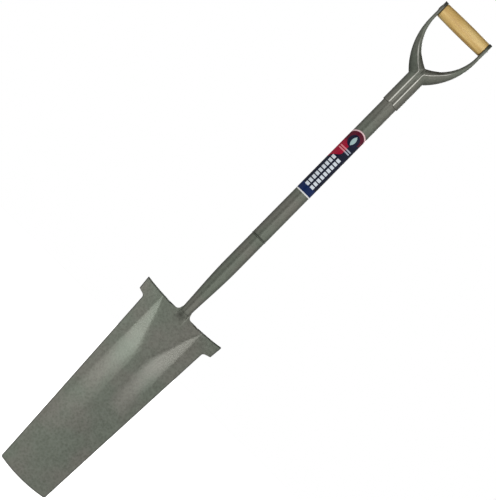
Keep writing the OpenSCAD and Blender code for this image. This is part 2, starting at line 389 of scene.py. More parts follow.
def blade_middle():
    """Grid of the middle of the plate, with its thickness, the share of it that is left at the
    edges, and how near each point is to a sheared edge."""
    ends = arc(0, 90, edge_steps + 1)[1:]
    inner = np.linspace(-1, 1, 2 * side_columns + 1)
    inner = np.sign(inner) * np.abs(inner) ** crowding
    s = np.concatenate([-np.ones(edge_steps), inner, np.ones(edge_steps)])[None, :]
    out = np.concatenate([np.sin(ends[::-1]), 0 * inner, np.sin(ends)])[None, :]
    column_share = np.concatenate([np.cos(ends[::-1]), 1 + 0 * inner, np.cos(ends)])[None, :]

    bend_rows = arc(0, 90, 12)[1:]
    left = np.concatenate([np.linspace(tread_reach, plate_t, 8)[1:],
                           plate_t / 2 * (1 - np.sin(arc(0, 90, 8)))])
    angle = np.concatenate([0 * rim[:, 0], bend_rows, np.pi / 2 + 0 * left])[:, None]
    reach = np.concatenate([0 * rim[:, 0], 0 * bend_rows, tread_reach - left])[:, None]
    folded = np.arange(len(angle))[:, None] >= len(rim)
    half_w = np.concatenate([rim[:, 0], tread_w + 0 * bend_rows, tread_w + 0 * left])[:, None]
    rim_h = np.concatenate([rim[:, 1], tread_tip_h + 0 * bend_rows, tread_tip_h + 0 * left])[:, None]

    from_edge = rim_h - mouth_bow
    thick = mix(mouth_edge_t, plate_t, np.clip(from_edge / mouth_taper, 0, 1))
    row_share = round_off(from_edge, mouth_edge_t / 2)
    row_share = np.where(folded, round_off(tread_reach - reach, plate_t / 2), row_share)
    x = across(s, half_w - thick / 2) + np.sign(s) * out * thick / 2
    from_mouth = 1 - np.clip(from_edge / (shoulder_h - mouth_bow), 0, 1)
    from_tread = np.clip((rim_h - shoulder_h) / (tread_tip_h - shoulder_h), 0, 1)
    bow = mouth_bow * ((x / mouth_w) ** 2 - 1) * from_mouth
    h = rim_h + bow + (fold_base(x) - tread_tip_h) * from_tread
    up, back = fold_path(x, angle, reach)
    up, back = np.where(folded, up, 0), np.where(folded, back, 0)
    points = np.stack([x, plate_y(x, h) + back, h + up], axis=-1)
    inward = np.minimum(half_w - np.abs(x), np.where(folded, tread_reach - reach, from_edge))
    return points, thick, row_share * column_share, np.exp(-((inward / sheared_w) ** 2))


def blade_faces():
    """Front and back of the plate: its middle moved both ways along its normal by half the
    thickness, then the nose added to both faces."""
    middle, thick, share, sheared = blade_middle()
    normal = np.cross(np.gradient(middle, axis=1), np.gradient(middle, axis=0))
    normal /= np.linalg.norm(normal, axis=-1, keepdims=True)
    faces = []
    for outward in (1, -1):
        face = outward * normal * (thick / 2)[..., None]
        stands = -outward * (middle[..., 1] + face[..., 1])
        nose = nose_height(middle[..., 0], middle[..., 2], nose_tuck)
        near = np.abs(middle[..., 0]) < nose_reach
        width = mix(neck_blend, foot_blend, nose_down(middle[..., 2]))
        raised = np.where(near, soft_max(stands, nose, width) - stands, 0)
        face[..., 1] -= outward * raised
        faces.append(middle + face * share[..., None])
    return *faces, sheared


front, back, sheared = blade_faces()
rows, columns = front.shape[:2]
sheet = np.concatenate([front.reshape(-1, 3), back.reshape(-1, 3)]) + [0, 0, mouth_z]
one_face = quads(rows, columns)
# painted shade: below 0 near the sheared edge, so the enamel there is painted near-black
blade = add_piece("blade_plate", sheet, np.concatenate([one_face, one_face + rows * columns]),
                  "blade", rubbed=-np.stack([sheared, sheared]))

# %% [markdown]
# ## Socket, weld and tube
# These are turned shapes: a profile of radius and height goes once round the shaft. The socket is
# hollow and takes the swaged end of the tube, and a ring weld closes the joint. A real bead is laid
# in small overlapping pools, so its radius ripples a little as it goes round. A cylinder or a cone
# with a Bevel would do for one straight piece, but a profile takes every step and round at once.

# %% Socket
joint_z = (weld_low.z + weld_high.z) / 2
weld_half = (weld_high.z - weld_low.z) / 2
tube_wall = 2 * MM
swaged_in = 0.3 * MM
spigot_r = tube_r - tube_wall - swaged_in
spigot_bore = spigot_r + 0.05 * MM
spigot_foot = joint_z - 45 * MM
foot_h = neck_h - 2 * MM
foot_sink = 0.6 * MM
foot_fade = 5 * MM
cone_h = nose_top + 20 * MM
cone_tip_h = nose_top + 16 * MM


def profile(*points):
    """Profile of (radius, height) points, each given as a pair of numbers or of arrays."""
    return np.concatenate([np.stack(np.broadcast_arrays(*np.atleast_1d(r, z)), axis=-1)
                           for r, z in points])


socket_h = np.concatenate([np.linspace(foot_h, nose_top, 12),
                           np.linspace(nose_top, nose_top + socket_taper_h, 40)[1:]])
hidden_start = foot_sink * (1 - ease((socket_h - foot_h) / foot_fade))
rim_turn = arc(0, 90, 6)
rim_r = 0.7 * MM
inside_h = np.linspace(spigot_foot - mouth_z, cone_h, 20)[1:]
socket_profile = profile(
    (0, socket_h[0] + mouth_z),
    (socket_r(socket_h) - hidden_start, socket_h + mouth_z),
    (socket_r_top - rim_r * (1 - np.cos(rim_turn)), socket_high.z - rim_r * (1 - np.sin(rim_turn))),
    (spigot_bore, socket_high.z),
    (spigot_bore, spigot_foot),
    (np.minimum(socket_r(inside_h) - tube_wall, spigot_bore), inside_h + mouth_z),
    (0, cone_tip_h + mouth_z),
)
grid = spin(socket_profile)
socket = add_piece("socket_taper", grid, quads(*grid.shape[:2], around=True), "socket")

# %% Ring weld
bead = arc(-90, 90, 13)
bead_sunk = 0.25 * MM
bead_root = socket_r_top - bead_sunk
bead_crown = weld_high.x - bead_root
pool_count, pool_swell = 30, 0.012
drift_count, drift_swell = 13, 0.008
bead_profile = profile(
    (spigot_r, joint_z - weld_half),
    (bead_root + bead_crown * np.cos(bead), joint_z + weld_half * np.sin(bead)),
    (spigot_r, joint_z + weld_half),
    (spigot_r, joint_z - weld_half),
)
grid = spin(bead_profile, steps=180)
around = np.arctan2(grid[..., 1], grid[..., 0])
on_bead = np.hypot(grid[..., 0], grid[..., 1]) > bead_root + hair
swell = pool_swell * np.sin(pool_count * around) + drift_swell * np.sin(drift_count * around + 1)
grid[..., :2] *= (1 + np.where(on_bead, swell, 0))[..., None]
weld = add_piece("joint_bead", grid, quads(*grid.shape[:2], around=True), "joint_weld")

# %% [markdown]
# The tube is swaged down at its lower end. Below the yoke its front is drawn in a little along the
# middle, where the two halves of the yoke are squeezed on to it, and the groove fades out down the
# tube. It is the same turned shape, pushed in where the groove runs.

# %% Tube
yoke_rim_z = yoke_low.z
tube_foot_z = joint_z + weld_half
chamfer = 0.6 * MM
neck_in_top = 8 * MM
neck_in_foot = 3 * MM
groove_half = 5.2 * MM
groove_fade = 46 * MM
groove_d = 0.55 * MM
groove_lip = 0.25
groove_lip_w = 0.3
tube_rows = np.linspace(tube_foot_z + chamfer, tube_high.z - chamfer, 150)
tube_profile = profile(
    (spigot_r, tube_low.z),
    (spigot_r, tube_foot_z),
    (tube_r - chamfer, tube_foot_z),
    (tube_r, tube_rows),
    (tube_r - chamfer, tube_high.z),
    (tube_r - tube_wall, tube_high.z),
    (tube_r - tube_wall, tube_foot_z + neck_in_top),
    (spigot_r - tube_wall, joint_z - neck_in_foot),
    (spigot_r - tube_wall, tube_low.z),
    (spigot_r, tube_low.z),
)


def drawn_in(x):
    """Depth profile of the groove: deepest on the middle, with a low lip on either side."""
    away = np.abs(x) / groove_half
    return (1 - ease(away)) - groove_lip * np.exp(-(((away - 1) / groove_lip_w) ** 2))


grid = spin(tube_profile, steps=192)
radius = np.hypot(grid[..., 0], grid[..., 1])
fading = 1 - ease((yoke_rim_z - grid[..., 2]) / groove_fade)
skin = (radius > tube_r - hair) & (grid[..., 1] < 0)
push = np.where(skin, groove_d * drawn_in(grid[..., 0]) * fading, 0)
grid[..., :2] *= (1 - push / np.maximum(radius, MM))[..., None]
tube = add_piece("tube", grid, quads(*grid.shape[:2], around=True), "shaft_tube")

# %% [markdown]
# ## Label
# The printed film covers the front half of the tube. It is square at the bottom and round at the
# top. A flat shape could be shrink-wrapped on to the tube, but its edge would show steps. A grid of
# angle and height makes the film instead: every column ends on the round top edge. Its UV map holds
# plain millimetres, along the arc and up the tube, so the print can be laid out with a ruler.

# %% Label film
label_r = label_high.x
half_turn = np.radians(92)
arch_r = 1.25 * tube_r
arch_z = label_high.z - arch_r


def label_top(x):
    """Height of the top edge over the place x: an arc wider than the tube."""
    return arch_z + np.sqrt(arch_r**2 - x**2)


turned = np.linspace(-half_turn, half_turn, 97)[None, :]
share = np.linspace(0, 1, 61)[:, None]
film_x = label_r * np.sin(turned) + 0 * share
film_z = mix(label_low.z, label_top(film_x), share)
outside = np.stack([film_x, -label_r * np.cos(turned) + 0 * share, film_z], axis=-1)
inside = outside * [tube_r / label_r, tube_r / label_r, 1]
film = np.stack([inside, outside])
rows, columns = film_x.shape
ring = np.concatenate([np.arange(columns), columns * np.arange(2, rows) - 1,
                       rows * columns - 1 - np.arange(columns), columns * np.arange(rows - 2, 0, -1)])
edge_band = np.stack([ring, np.roll(ring, -1)], axis=-1)
edge_band = np.concatenate([edge_band, edge_band[:, ::-1] + rows * columns], axis=-1)
sheet_faces = quads(rows, columns)
label_faces = np.concatenate([sheet_faces, sheet_faces + rows * columns, edge_band])
ruler = np.stack([label_r * turned + 0 * share, film_z - label_low.z], axis=-1) / MM
label = add_piece("label_film", film, label_faces, "label", uv=np.stack([ruler, ruler]))

# %% [markdown]
# ## Yoke
# Two pressed halves are clamped round the tube and welded along the middle, and each one runs on
# into an arm and a strap. One half is a chain of rings. On the sleeve a ring is a half-round wall.
# In the crotch its bore fills up, and the ring turns into a whole rounded bar, which then follows
# the arm between an inner and an outer circle. A crest runs up from the lip of the seam along the
# front of the arm: it is a small bump at one place of each ring, which wanders from ring to ring.
# A curve with a bevel keeps one section all along, and a union of a sleeve and two arms leaves hard
# seams where they meet. Rings that change from station to station give the smooth pressed form.

# %% Sizes of the yoke
sleeve_wall = 1.6 * MM
bore_r = tube_r + 0.2 * MM
sleeve_r = bore_r + sleeve_wall
sleeve_top = yoke_rim_z + 60 * MM
strap_in = grip_high.x
strap_out = yoke_high.x
eye_r = yoke_high.z
inner_r = 86 * MM
outer_r = 130 * MM
inner_centre = np.array([strap_in - inner_r, 0, -18 * MM])
outer_centre = np.array([strap_out - outer_r, 0, -26 * MM])
inner_turn = np.arccos(-inner_centre[0] / inner_r)
outer_turn = np.arccos((sleeve_r - outer_centre[0]) / outer_r)
arm_waist = 2.6 * MM
arm_thinner = 0.6 * MM
strap_square = 1.8
strap_straight = np.linspace(-16, -2, 6) * MM
print("arm from", inner_turn.round(3), "and", outer_turn.round(3), "radians on its circles")

# %% [markdown]
# Where things happen along a half is told in shares: of the way through the crotch for the bore, and
# of the way up the arm for the rest. The crest lies at a share of the ring's width, counted from its
# inner end.

# %% Stations along one half
bore_closed = 0.4
crest_share = 0.34
crest_waist = 0.24
crest_turns = 0.45
lip_from, lip_to = 0.3, 0.8
parted = 0.3
meeting = 7 * MM


def on_circle(centre, radius, turned):
    """Points on a circle in the XZ plane, below and beside its centre."""
    step = np.stack([np.cos(turned), 0 * turned, -np.sin(turned)], axis=-1)
    return centre + radius * step


def arm_depth(t):
    """Half depth of the arm: drawn in at its waist, full again at the eye."""
    return mix(sleeve_r - arm_thinner, eye_r, t) - arm_waist * np.sin(np.pi * t)


def stations():
    """Rows of (inner end, outer end, half depth, filled, ridge, square, lip, past) from the rim to
    the eye. Ridge is the share of the width at which the crest line lies, and past is how far
    beyond the inner end the ring would close, had the other half not been there."""
    edge = rim_r * (1 - np.cos(rim_turn))
    z = np.concatenate([yoke_rim_z + edge, np.linspace(yoke_rim_z + 2 * rim_r, sleeve_top, 44)])
    wall_cut = rim_r * (1 - round_off(z - yoke_rim_z, rim_r))
    axis = np.stack([0 * z, 0 * z, z], axis=-1)
    sleeve = (axis, axis + np.stack([sleeve_r - wall_cut, 0 * z, 0 * z], axis=-1),
              sleeve_r - wall_cut, 0 * z, 0 * z, 1 + 0 * z, 1 + 0 * z, meeting + 0 * z)
    k = np.linspace(0, 1, 31)[1:-1]
    foot_in, foot_out = axis[-1], np.array([sleeve_r, 0, sleeve_top])
    head_in = on_circle(inner_centre, inner_r, np.array(inner_turn))
    head_out = on_circle(outer_centre, outer_r, np.array(outer_turn))
    crotch = (mix(foot_in, head_in, k[:, None]), mix(foot_out, head_out, k[:, None]),
              mix(sleeve_r, arm_depth(0), k), ease(k / bore_closed),
              crest_share * ease((k - bore_closed) / (1 - bore_closed)),
              1 + 0 * k, 1 + 0 * k, meeting + 0 * k)
    t = np.linspace(0, 1, 61)
    ridge = mix(crest_share, crest_waist, ease(t / crest_turns))
    arm = (on_circle(inner_centre, inner_r, inner_turn * (1 - t)),
           on_circle(outer_centre, outer_r, outer_turn * (1 - t)),
           arm_depth(t), 1 + 0 * t, mix(ridge, 0.5, ease((t - crest_turns) / (1 - crest_turns))),
           mix(1, strap_square, ease(t)), 1 - ease((t - lip_from) / (lip_to - lip_from)),
           meeting * (1 - ease(t / parted)))
    eye = arc(0, 90, 24)
    top = np.concatenate([strap_straight, eye_r * np.sin(eye)])
    depth = np.concatenate([eye_r + 0 * strap_straight, eye_r * np.cos(eye)])
    high = np.stack([0 * top, 0 * top, top], axis=-1)
    strap = (high + [strap_in, 0, 0], high + [strap_out, 0, 0],
             depth, 1 + 0 * top, 0.5 + 0 * top, strap_square + 0 * top, 0 * top, 0 * top)
    return [np.concatenate(parts) for parts in zip(sleeve, crotch, arm, strap)]


# %% One half of the yoke
wall_points = 97
seam_share = 0.1
channel_d = 0.8 * MM
lip_h = 0.9 * MM
lip_w = 0.027
painted_sheen_on_arm = 0.75
notch_w = 8 * MM
notch_h = 4.5 * MM
notch_fade = 18 * MM


def power(v, square):
    """Signed root that squares a circle up: sign(v) |v|^(1/square)."""
    return np.sign(v) * np.abs(v) ** (1 / square)


def yoke_rings():
    """Grid of one half, and the painted highlight of each point. Each ring is an egg about its crest
    line:
    outside the crest a half ellipse out to the outer end, inside it a half ellipse back to the
    inner end, cut off where it meets the other half. On the sleeve the crest line is the seam, and
    the inner half is the bore until the crotch fills it."""
    inner, outer, *numbers = stations()
    width = np.linalg.norm(outer - inner, axis=-1)[:, None]
    half_d, filled, ridge, square, lip, past = [v[:, None] for v in numbers]
    f = np.linspace(-1, 1, wall_points)[None, :]
    turn_out = np.pi / 2 * f
    turn_in = np.linspace(np.pi / 2, 3 * np.pi / 2, wall_points + 2)[None, 1:-1]
    crest = width * ridge
    outer_x = crest + (width - crest) * power(np.cos(turn_out), square)
    outer_y = half_d * power(np.sin(turn_out), square)
    egg_x = np.maximum(crest + (crest + past) * power(np.cos(turn_in), square), 0)
    egg_y = half_d * power(np.sin(turn_in), square)
    inner_x = mix(-bore_r * np.cos(turn_in), egg_x, filled)
    inner_y = mix(bore_r * np.sin(turn_in), egg_y, filled)

    # The channel along the seam, and a lip beside it that runs on as a crest up the arm
    from_seam = (1 - np.abs(f)) / 2
    channel = channel_d * (1 - ease(from_seam / seam_share)) * (1 - filled)
    lip_at = np.maximum(seam_share * (1 - ridge / crest_share), lip_w / 2)
    raised = lip * np.exp(-(((from_seam - lip_at) / lip_w) ** 2))
    outer_y = outer_y + np.sign(outer_y) * (lip_h * raised - channel)

    x = np.concatenate([outer_x, inner_x], axis=1)
    y = np.concatenate([outer_y, inner_y], axis=1)
    across_ring = (outer - inner) / width
    points = inner[:, None] + x[..., None] * across_ring[:, None]
    points[..., 1] += y
    notch = notch_h * np.clip(1 - points[..., 0] / notch_w, 0, 1) * (y < 0)
    points[..., 2] += notch * (1 - ease((points[..., 2] - yoke_rim_z) / notch_fade))
    # painted highlight: where the lip stands up, the enamel is painted near-white, a little less on
    # the arm
    scuffs_and_painted_light = raised * mix(1, painted_sheen_on_arm, filled)
    return points, np.concatenate([scuffs_and_painted_light, 0 * inner_x], axis=1)


half, crest_painted_sheen = yoke_rings()
rows, columns = half.shape[:2]
strip = np.arange(columns // 2 - 1)
cap = np.stack([strip, strip + 1, columns - 2 - strip, columns - 1 - strip], axis=-1)
half_faces = np.concatenate([quads(rows, columns, around=True), cap])
yoke_right = add_piece("yoke_right_half", half, half_faces, "yoke_right",
                       rubbed=crest_painted_sheen)
yoke_left = add_piece("yoke_left_half", half * [-1, 1, 1], half_faces, "yoke_left",
                      rubbed=crest_painted_sheen)

# %% [markdown]
# ## Crosspiece and rivet
# The crosspiece is turned wood, a little fuller in the middle, with its ends eased by hand. A steel
# rivet passes through it and both straps, and each end is hammered into a low dome. A cylinder with
# a Bevel comes close, but has no fuller middle. Both are profiles spun about the X axis.

# %% Crosspiece
grip_r = grip_high.z
grip_half = grip_high.x
grip_fall = 0.8 * MM
end_round = 1.6 * MM
rivet_r = 4 * MM
hole_r = rivet_r + hair
barrel = np.linspace(-1, 1, 81)
barrel_r = grip_r - grip_fall * barrel**2
barrel_x = barrel * (grip_half - end_round)
lathe = arc(0, 90, 8)
end_r = grip_r - grip_fall - end_round * (1 - np.cos(lathe))
end_x = grip_half - end_round * (1 - np.sin(lathe))
grip_profile = profile(
    (hole_r, -grip_half),
    (end_r[::-1], -end_x[::-1]),
    (barrel_r, barrel_x),
    (end_r, end_x),
    (hole_r, grip_half),
    (hole_r, -grip_half),
)
grid = spin(grip_profile, axis="X", steps=144)
grip = add_piece("grip_wood", grid, quads(*grid.shape[:2], around=True), "grip")

# %% Rivet
head_r = 6.5 * MM
head_h = rivet_high.x - strap_out
dome_r = (head_r**2 + head_h**2) / (2 * head_h)
dome = np.linspace(0, np.arcsin(head_r / dome_r), 14)
dome_x = strap_out + head_h - dome_r * (1 - np.cos(dome))
rivet_profile = profile(
    (dome_r * np.sin(dome), -dome_x),
    (head_r, -strap_out),
    (rivet_r, -strap_out),
    (rivet_r, strap_out),
    (head_r, strap_out),
    (dome_r * np.sin(dome[::-1]), dome_x[::-1]),
)
grid = spin(rivet_profile, axis="X", steps=72)
rivet = add_piece("rivet", grid, quads(*grid.shape[:2], around=True), "grip_rivet")

# %% [markdown]
# ## A way to write materials
# A material is a graph of nodes. Arithmetic on masks is easier to read as Python, so a small class
# wraps a number socket and adds a Math node for each operator.

# %% Numbers
class Number:
    """A number that varies over the surface. + - * / and powers add Math nodes to its graph."""

    def __init__(self, graph, socket):
        self.graph = graph
        self.socket = socket

    def math(self, operation, *values):
        """This operation on the given numbers, as a new Number."""
        node = self.graph.node("Math", {"operation": operation}, dict(enumerate(values)))
        return Number(self.graph, node.outputs[0])

    def __add__(self, other):
        return self.math("ADD", self, other)

    def __sub__(self, other):
        return self.math("SUBTRACT", self, other)

    def __rsub__(self, other):
        return self.math("SUBTRACT", other, self)

    def __mul__(self, other):
        return self.math("MULTIPLY", self, other)

    def __truediv__(self, other):
        return self.math("DIVIDE", self, other)

    def __pow__(self, other):
        return self.math("POWER", self, other)

    def __abs__(self):
        return self.math("ABSOLUTE", self)

    __radd__ = __add__
    __rmul__ = __mul__

    def least(self, other):
        """The smaller of two numbers: where both masks hold."""
        return self.math("MINIMUM", self, other)

    def sine(self):
        """Sine of an angle in radians."""
        return self.math("SINE", self)

    def repeat(self, length):
        """Place within a pattern that repeats every length."""
        return self.math("FLOORED_MODULO", self, length)

    def step(self, low, high):
        """Smooth step from 0 at low to 1 at high."""
        ranges = {"Value": self, "From Min": low, "From Max": high}
        node = self.graph.node("MapRange", {"interpolation_type": "SMOOTHSTEP"}, ranges)
        return Number(self.graph, node.outputs[0])


# %% [markdown]
# Every other node comes from one method that takes its type, its settings and what its sockets get.
# A graph with this method serves the world of the studio as well as the paints, which add short
# forms for the patterns that they use.

# %% Graphs and paints
class Graph:
    """A tree of nodes, and the one method that adds them."""

    def __init__(self, tree):
        self.tree = tree

    def node(self, kind, settings=None, sockets=None):
        """A node of that type: its settings first, a ramp's stops among them, then its sockets,
        each a number, a colour or a link."""
        node = self.tree.nodes.new("ShaderNode" + kind)
        for name, value in (settings or {}).items():
            if name == "stops":
                self.set_stops(node.color_ramp.elements, value)
            else:
                setattr(node, name, value)
        for key, value in (sockets or {}).items():
            self.feed(node.inputs[key], value)
        return node

    def set_stops(self, elements, stops):
        """The stops of a ramp, as (position, colour) pairs."""
        while len(elements) < len(stops):
            elements.new(1)
        for element, (position, colour) in zip(elements, stops):
            element.position = position
            element.color = colour

    def feed(self, socket, value):
        """Links a socket to what feeds it, or sets its own value."""
        if isinstance(value, Number):
            value = value.socket
        if isinstance(value, bpy.types.NodeSocket):
            self.tree.links.new(value, socket)
        else:
            socket.default_value = value

    def number(self, node, output=0):
        """An output of a node, as a Number."""
        return Number(self, node.outputs[output])


class Paint(Graph):
    """A material with a Principled shader, and short forms for its patterns."""

    def __init__(self, name):
        self.material = bpy.data.materials.new(name)
        self.material.use_nodes = True
        super().__init__(self.material.node_tree)
        self.shader = self.tree.nodes["Principled BSDF"]

    def blend(self, mask, a, b):
        """Colour a where the mask is 0, and colour b where it is 1."""
        return self.node("Mix", {"data_type": "RGBA"}, {0: mask, 6: a, 7: b}).outputs[2]

    def place(self, scale=(1, 1, 1)):
        """Object coordinates, scaled for a pattern that is longer one way than the other."""
        source = self.node("TexCoord").outputs["Object"]
        return self.node("Mapping", None, {"Vector": source, "Scale": scale}).outputs[0]

    def noise(self, scale, detail=2, roughness=0.5, place=None):
        """Noise from 0 to 1, in steps per metre."""
        sockets = {"Scale": scale, "Detail": detail, "Roughness": roughness,
                   "Vector": place or self.place()}
        return self.number(self.node("TexNoise", None, sockets))

    def cells(self, scale, feature, place):
        """Distance to the nearest cell point, in cell widths."""
        sockets = {"Scale": scale, "Vector": place}
        return self.number(self.node("TexVoronoi", {"feature": feature}, sockets))

    def bump(self, height, distance, under=None):
        """Normal of a relief of that height, laid over another normal."""
        sockets = {"Height": height, "Distance": distance}
        if under is not None:
            sockets["Normal"] = under
        return self.node("Bump", None, sockets).outputs[0]

    def finish(self, **sockets):
        """Feeds the shader's sockets and returns the material."""
        for name, value in sockets.items():
            label = name.replace("_", " ").title().replace("Ior", "IOR")
            self.feed(self.shader.inputs[label], value)
        return self.material


def dress(material, *pieces):
    """Gives the pieces this one material."""
    for piece in pieces:
        piece.data.materials.clear()
        piece.data.materials.append(material)
    print(material.name, "on", ", ".join(piece.name for piece in pieces))


# %% [markdown]
# ## Hammered enamel
# Hammer finish is a metallic enamel that pulls itself into small shallow dimples as it dries. The
# flakes lie at many angles, so each dimple is a little lighter or darker than the next. Voronoi
# cells give the dimples, stretched by noise so they don't look like a grid. The colour drifts
# slowly between grey and green. A painted highlight, a near-white grey, lies along the raised lips
# and crests of the yoke, and painted shade darkens the sheared edge of the blade almost to black.
# An attribute on their points tells the paint where these places are. A picture wrapped round the
# steel would stretch at the bends, and a pattern in space has no seams.

# %% Enamel
grey_dark, grey_light = (0.100, 0.101, 0.086, 1), (0.170, 0.170, 0.150, 1)
green_dark, green_light = (0.088, 0.100, 0.080, 1), (0.150, 0.170, 0.142, 1)
# colours of the painted highlight on the yoke and of the painted shade on the blade's edge
painted_highlight_colour = (0.66, 0.66, 0.62, 1)
painted_edge_shade_colour = (0.040, 0.041, 0.036, 1)
grain_size = 0.9 * MM
grain_d = 0.025 * MM


def hammered_enamel(name, cell=4.2 * MM, depth=0.17 * MM):
    """Grey-green hammer enamel with dimples of about the given cell size and depth. The fleck is a
    weighted sum of the patterns, each taken about its own middle."""
    paint = Paint(name)
    place = paint.place()
    wobble = paint.node("TexNoise", None, {"Scale": 0.35 / cell, "Detail": 2, "Vector": place})
    shift = paint.node("VectorMath", {"operation": "SCALE"},
                       {0: wobble.outputs["Color"], "Scale": 1.1 * cell})
    bent = paint.node("VectorMath", None, {0: place, 1: shift.outputs[0]}).outputs[0]
    pools = paint.cells(1 / cell, "SMOOTH_F1", bent)
    fine = paint.cells(2.3 / cell, "F1", bent)
    grain = paint.noise(1 / grain_size, 3, 0.6)
    drift = paint.noise(14, 2, 0.5)
    cloud = paint.noise(45, 3, 0.6)

    fleck = (pools - 0.35) * 0.55 + (fine - 0.4) * 0.25 + (cloud - 0.5) * 0.35 + (grain - 0.5) * 0.30
    fleck_mask = (fleck + 0.5).step(0.1, 0.9)
    hue = drift.step(0.35, 0.65)
    dark = paint.blend(hue, grey_dark, green_dark)
    light = paint.blend(hue, grey_light, green_light)
    rubbed = paint.number(paint.node("Attribute", {"attribute_name": "rubbed"}), "Fac")
    ragged = (cloud - 0.5) * 0.4
    # painted highlight: near-white grey along the lips and crests of the yoke
    painted_highlight = (rubbed + ragged).step(0.25, 0.95)
    colour = paint.blend(painted_highlight, paint.blend(fleck_mask, dark, light), painted_highlight_colour)
    # painted shade: near-black along the sheared edge of the blade
    painted_edge_shade = (ragged - rubbed).step(0.15, 0.9)
    colour = paint.blend(painted_edge_shade, colour, painted_edge_shade_colour)
    rough = 0.40 + (pools - 0.35) * 0.16 + (cloud - 0.5) * 0.12
    relief = pools * 0.75 + fine * 0.25
    normal = paint.bump(grain, grain_d, paint.bump(relief, depth))
    return paint.finish(base_color=colour, roughness=rough, metallic=0.7, normal=normal,
                        coat_weight=0.15, coat_roughness=0.25)


enamel = hammered_enamel("hammered_enamel")
dress(enamel, blade, socket, weld, tube, yoke_right, yoke_left, rivet)

# %% [markdown]
# ## Varnished wood
# The crosspiece is turned from a pale hardwood with its grain along the tool's X axis. Long narrow
# noise gives the grain, a tighter one the dark pores, and a slow one the figure of the wood. The
# patterns fill space, so the end grain and the sides agree as they do on a turned piece, which a
# picture wrapped round it wouldn't show. A thin clear varnish lies over it all.

# %% Wood
pore_brown = (0.30, 0.155, 0.05, 1)
pore_d = 0.03 * MM


def varnished_wood(name):
    """Pale hardwood with grain along X, under a clear varnish."""
    paint = Paint(name)
    long_grain = paint.noise(1, 4, 0.6, paint.place(scale=(16, 170, 170)))
    figure = paint.noise(1, 2, 0.5, paint.place(scale=(9, 42, 42)))
    pores = paint.noise(1, 2, 0.5, paint.place(scale=(80, 900, 900)))
    streak = long_grain * 0.65 + figure * 0.55 - 0.1
    shade = paint.node("ValToRGB", {"stops": [
        (0.28, (0.345, 0.185, 0.052, 1)),
        (0.46, (0.490, 0.315, 0.096, 1)),
        (0.60, (0.580, 0.405, 0.147, 1)),
        (0.76, (0.640, 0.485, 0.220, 1)),
    ]}, {0: streak}).outputs[0]
    pore_mask = 1 - pores.step(0.26, 0.40)
    colour = paint.blend(pore_mask * 0.55, shade, pore_brown)
    rough = 0.42 + (1 - streak) * 0.15
    normal = paint.bump(pores + long_grain * 0.6, pore_d)
    return paint.finish(base_color=colour, roughness=rough, normal=normal,
                        coat_weight=0.35, coat_roughness=0.18)


dress(varnished_wood("varnished_wood"), grip)

# %% [markdown]
# ## Printed label
# The print is generic: a dark blue ground, a red panel, a leaf on a disc, two pale rules and two rows
# of plain bars, with a pale hem below and a pale rim round the top. The marks could be cut as thin
# meshes and laid on the film, but then the film is no longer one clean sheet. So each mark is a mask
# on the film's own millimetres. The first cell is the printer's layout, the second the inks.

# %% Layout of the print, in millimetres
ink_edge = 0.25
radius_mm = label_r / MM
arch_mm = arch_r / MM
arch_at = (label_high.z - label_low.z) / MM - arch_mm
foot_at = (16, 18)
red_from, red_left = (78, 78.5), -13.5
red_swells, red_swell = (81, 98), 14
red_widens, red_width = (116, 130), 16
wine_from = (116, 124)
rules_at, rules_apart, rules_left = 105.8, 2.3, 0.6
rule_half, rule_reach = 1.25, 11.5
rows_at, rows_reach, rows_apart, rows_left = 51.35, 36.5, 5.6, 0.5
bar_half_wide, bar_half_long = 3.7, 2.9
bar_step, bar_shift = 8.1, 1.3
disc_at, disc_r, disc_squash = 127, 10.4, 0.85
leaf_arc, leaf_apart = 13.5, 9.6
hem_h, rim_w = 2.6, 2.4
print("film", round(arch_at + arch_mm, 1), "mm tall, its arch", round(arch_mm, 1), "mm in radius")

# %% Inks
foot_blue, navy = (0.001, 0.018, 0.105, 1), (0.002, 0.006, 0.030, 1)
red_ink, wine_ink = (0.42, 0.002, 0.036, 1), (0.115, 0.002, 0.022, 1)
disc_navy, leaf_pale = (0.003, 0.006, 0.036, 1), (0.46, 0.66, 0.68, 1)
rule_pink, rule_grey = (0.86, 0.30, 0.34, 1), (0.46, 0.52, 0.64, 1)
bar_white, hem_white = (0.80, 0.88, 0.98, 1), (0.86, 0.88, 0.90, 1)
rim_pink, scuff_grey = (0.92, 0.66, 0.71, 1), (0.42, 0.42, 0.44, 1)
scuff_d = 0.01 * MM

# %% [markdown]
# A mark is told by its margin, the distance to its own edge: above 0 there is ink. A bar is the least
# of three margins' masks, and a leaf is where two round discs overlap. The inks are then laid one
# over the other, as a printer lays them, and a few small scuffs keep the film from looking new.

# %% Label print
def inked(margin):
    """Mask of where a margin is above 0, with an edge as soft as ink on film."""
    return margin.step(-ink_edge, ink_edge)


def far(x, y):
    """Distance from a centre that lies x and y away: the root of x^2 + y^2."""
    return (x ** 2 + y ** 2) ** 0.5


